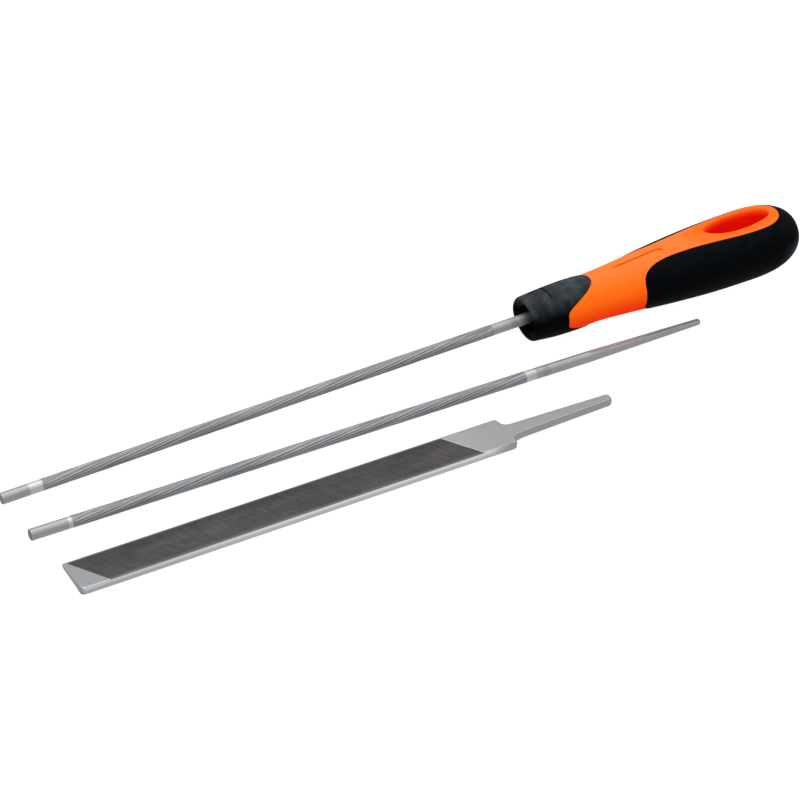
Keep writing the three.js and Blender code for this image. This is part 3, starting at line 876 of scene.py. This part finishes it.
def flat_plate():
    """The bar and its tang before the teeth are cut, as rings from the underside to the top."""
    half, end = blade_width / 2, blade_length + flat_tang
    near_neck, far_neck = -neck_offset - neck_width / 2, -neck_offset + neck_width / 2
    near_end, far_end = -neck_offset - end_width / 2, -neck_offset + end_width / 2
    corner = blade_corner + blade_edge

    def shoulder(neck):
        return min(shoulder_fillet, half - abs(neck) - blade_corner) - blade_edge / 2

    outline = rounded_outline([
        (0, -half, corner), (blade_length, -half, corner),
        (blade_length, near_neck, shoulder(near_neck), near_sweep), (end, near_end, tang_end_radius),
        (end, far_end, tang_end_radius), (blade_length, far_neck, shoulder(far_neck)),
        (blade_length, half, corner), (-far_reach, half, far_corner + blade_edge),
    ])
    turn = np.linspace(0, np.pi, 13)
    inset = blade_edge * (1 - np.sin(turn) ** edge_fullness)
    rings = np.c_[inset, blade_thickness / 2 * (1 - np.cos(turn))]
    count = len(outline)
    points = np.vstack([np.c_[moved_in(outline, into), np.full(count, rise)] for into, rise in rings])
    under = (1 - points[:, 2] / blade_thickness) * eased(points[:, 1], -half, half)
    points[:, 0] += tip_undercut * under * (points[:, 0] < blade_length / 2)
    return points, ring_faces(len(rings), count)


def tooth_rack(level, up):
    """A slanting saw-tooth rack that leaves its teeth in the face at this height."""
    pitch = cut_pitch / np.cos(cut_angle)
    count = int(cut_length / pitch)
    profile = [(0, rack_height)]
    for i in range(count):
        profile += [(i * cut_pitch, -cut_relief), ((i + 1) * cut_pitch, -cut_relief - cut_depth)]
    profile.append((count * cut_pitch, rack_height))
    profile = np.array(profile)
    across = blade_width / np.cos(cut_angle) + cut_length * np.sin(cut_angle)
    points = []
    for side in (-across, across):
        x = profile[:, 0] * np.cos(cut_angle) - side * np.sin(cut_angle) + cut_from
        y = profile[:, 0] * np.sin(cut_angle) + side * np.cos(cut_angle)
        points.append(np.c_[x, y * up, level + profile[:, 1] * up])
    size = len(profile)
    faces = [list(range(size)), list(range(size, 2 * size))[::-1]]
    faces += [(i, i + size, (i + 1) % size + size, (i + 1) % size) for i in range(size)]
    return np.vstack(points), faces


def apply_modifiers(piece):
    """Keeps the shape that the modifiers give, without them."""
    shaped = piece.evaluated_get(bpy.context.evaluated_depsgraph_get())
    piece.data = bpy.data.meshes.new_from_object(shaped)
    piece.modifiers.clear()


def with_teeth_cut(plate, racks):
    """The plate with each rack taken out of it."""
    for rack in racks:
        cutter = plate.modifiers.new("cut", "BOOLEAN")
        cutter.operation = "DIFFERENCE"
        cutter.solver = "EXACT"
        cutter.object = rack
    apply_modifiers(plate)
    for rack in racks:
        bpy.data.objects.remove(rack)
    plate.data.set_sharp_from_angle(angle=crease_angle)
    plate.modifiers.new("flat faces stay flat", "WEIGHTED_NORMAL").keep_sharp = True
    apply_modifiers(plate)
    return plate


plate = make_piece("flat_file_steel", *flat_plate(), flat_place)
cut_sides = ((blade_thickness, 1), (0, -1))
racks = [make_piece("rack", *tooth_rack(level, up), flat_place) for level, up in cut_sides]
flat = with_teeth_cut(plate, racks)
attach(flat, "flat_file")
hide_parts("flat_file")


def flat_file_steel():
    """Bare bright steel at the tip, edges and heel, and dull grey where the teeth are cut."""
    steel = Finish("flat_file_finish", flat_place, Metallic=1.0)
    along, across, up = steel.axes()
    grain = steel.noise(steel.vector(along * 0.1, across, up), scale=1.5, detail=4)
    cloud = steel.noise(steel.vector(along * 0.3, across, up), scale=0.22, detail=4)
    into_cut = (along - cut_from) * float(np.cos(cut_angle)) + across * float(np.sin(cut_angle))
    cut_end = cut_length * float(np.cos(cut_angle))
    outer = steel.wires.math("ABSOLUTE", up - blade_thickness / 2)
    toothed = into_cut.span(-0.1, 0.1, cut_end - 0.5, cut_end - 0.3)
    toothed = toothed * outer.between(blade_thickness / 2 - 0.26, blade_thickness / 2 - 0.2)
    from_middle = steel.wires.math("ABSOLUTE", across)
    toothed = toothed * (1 - from_middle.between(blade_width / 2 - 0.35, blade_width / 2 - 0.15))
    toothed = toothed * (1 - across.between(blade_width / 2 - 0.85, blade_width / 2 - 0.55))
    side = 1 - outer.between(blade_thickness / 2 - 0.06, blade_thickness / 2 - 0.01)
    heel_face = along.between(118, 150).blend(grey(0.37, -0.01), grey(0.3))
    face = along.between(20, 60).blend(grey(0.255, -0.03), heel_face)
    # painted highlight on the upper part of the rounded edges, painted shade on their lower part
    lower = along.between(0, 70).blend(grey(0.38, -0.02), grey(0.46, -0.01))
    upper = along.between(0, 70).blend(grey(0.55, -0.02), grey(0.68, -0.01))
    rim = up.between(1.5, 2.1).blend(lower, upper)
    # painted dark reflection on the edges near the heel
    rim = along.between(140, 150).blend(rim, grey(0.3, -0.03))
    # painted shade on the tip's end face, lighter towards its top
    end = up.between(0.8, 1.6).blend(grey(0.19, -0.02), grey(0.29, -0.02))
    rim = along.between(0.3, 1.2).blend(end, rim)
    bare = side.blend(face, rim)
    down_tooth = across * float(np.cos(cut_angle)) - along * float(np.sin(cut_angle))
    tooth_marks = steel.vector(into_cut, down_tooth * 0.12, up)
    streaks = steel.noise(tooth_marks, scale=1.1, detail=4, roughness=0.6)
    pattern = (cloud + streaks).between(0.7, 1.3)
    cool_dull = pattern.blend((0.052, 0.053, 0.055, 1), (0.078, 0.078, 0.08, 1))
    warm_dull = pattern.blend((0.064, 0.06, 0.061, 1), (0.099, 0.091, 0.09, 1))
    dull = along.between(10, 70).blend(cool_dull, warm_dull)
    worn = from_middle.between(blade_width / 2 - 1.8, blade_width / 2 - 0.3)
    dull = (worn * 0.5).blend(dull, grey(0.2))
    steel.set(Base_Color=toothed.blend(bare, dull), Roughness=0.34 + grain * 0.14 + toothed * 0.1)
    return steel.material


flat.data.materials.append(flat_file_steel())


# Bench, light and camera: a white bench under a broad soft light, seen from the height
# and side of the photograph.

camera_azimuth, camera_height = np.radians(-28.271), np.radians(35.472)
camera_distance, picture_width = 1000.05, 800
pixels_of_lens = 3075.2
sensor = 36
aim = Vector((tip_x + 135.419, tip_y - 9.734, 0))

floor_size = 6.0
floor_mesh = bpy.data.meshes.new("bench")
floor_mesh.from_pydata([(-floor_size, -floor_size, 0), (floor_size, -floor_size, 0),
                        (floor_size, floor_size, 0), (-floor_size, floor_size, 0)], [], [(0, 1, 2, 3)])
floor = bpy.data.objects.new("bench", floor_mesh)
bpy.context.scene.collection.objects.link(floor)
bench = Finish("bench_white", Matrix.Identity(4), Base_Color=grey(0.12), Roughness=0.8,
               Emission_Color=(1, 1, 1, 1), Emission_Strength=0.97)
floor.data.materials.append(bench.material)
floor.visible_glossy = floor.visible_diffuse = False

world = bpy.data.worlds.new("studio")
bpy.context.scene.world = world
world.use_nodes = True
sky = world.node_tree.nodes["Background"]
sky.inputs["Color"].default_value = (1, 1, 1, 1)
room = Wire(world.node_tree)
height = room.node("ShaderNodeSeparateXYZ", {0: room.node("ShaderNodeTexCoord", output=0)}, output=2)
bounce = (1 - height.between(-0.1, 0.1)) * 0.95
ceiling = height.between(0.55, 0.95)
wall = height.between(-0.1, 0.1) * 0.85
world.node_tree.links.new((bounce + wall + ceiling).socket, sky.inputs["Strength"])

softbox = bpy.data.lights.new("softbox", "AREA")
softbox.shape = "RECTANGLE"
softbox.size, softbox.size_y = 1.2, 0.9
softbox.energy = 4
light = bpy.data.objects.new("softbox", softbox)
light.location = (-0.1, 0.35, 1.1)
light.rotation_euler = (Vector((0, 0, 0)) - light.location).to_track_quat("-Z", "Y").to_euler()
bpy.context.scene.collection.objects.link(light)

camera_data = bpy.data.cameras.new("camera")
camera_data.sensor_width = sensor
camera_data.lens = pixels_of_lens / picture_width * sensor
camera = bpy.data.objects.new("camera", camera_data)
back = Vector((np.sin(camera_azimuth) * np.cos(camera_height),
               -np.cos(camera_azimuth) * np.cos(camera_height), np.sin(camera_height)))
camera.location = (aim + back * camera_distance) * millimetre
camera.rotation_euler = (-back).to_track_quat("-Z", "Y").to_euler()
bpy.context.scene.collection.objects.link(camera)
bpy.context.scene.camera = camera
bpy.context.scene.view_settings.view_transform = "Standard"
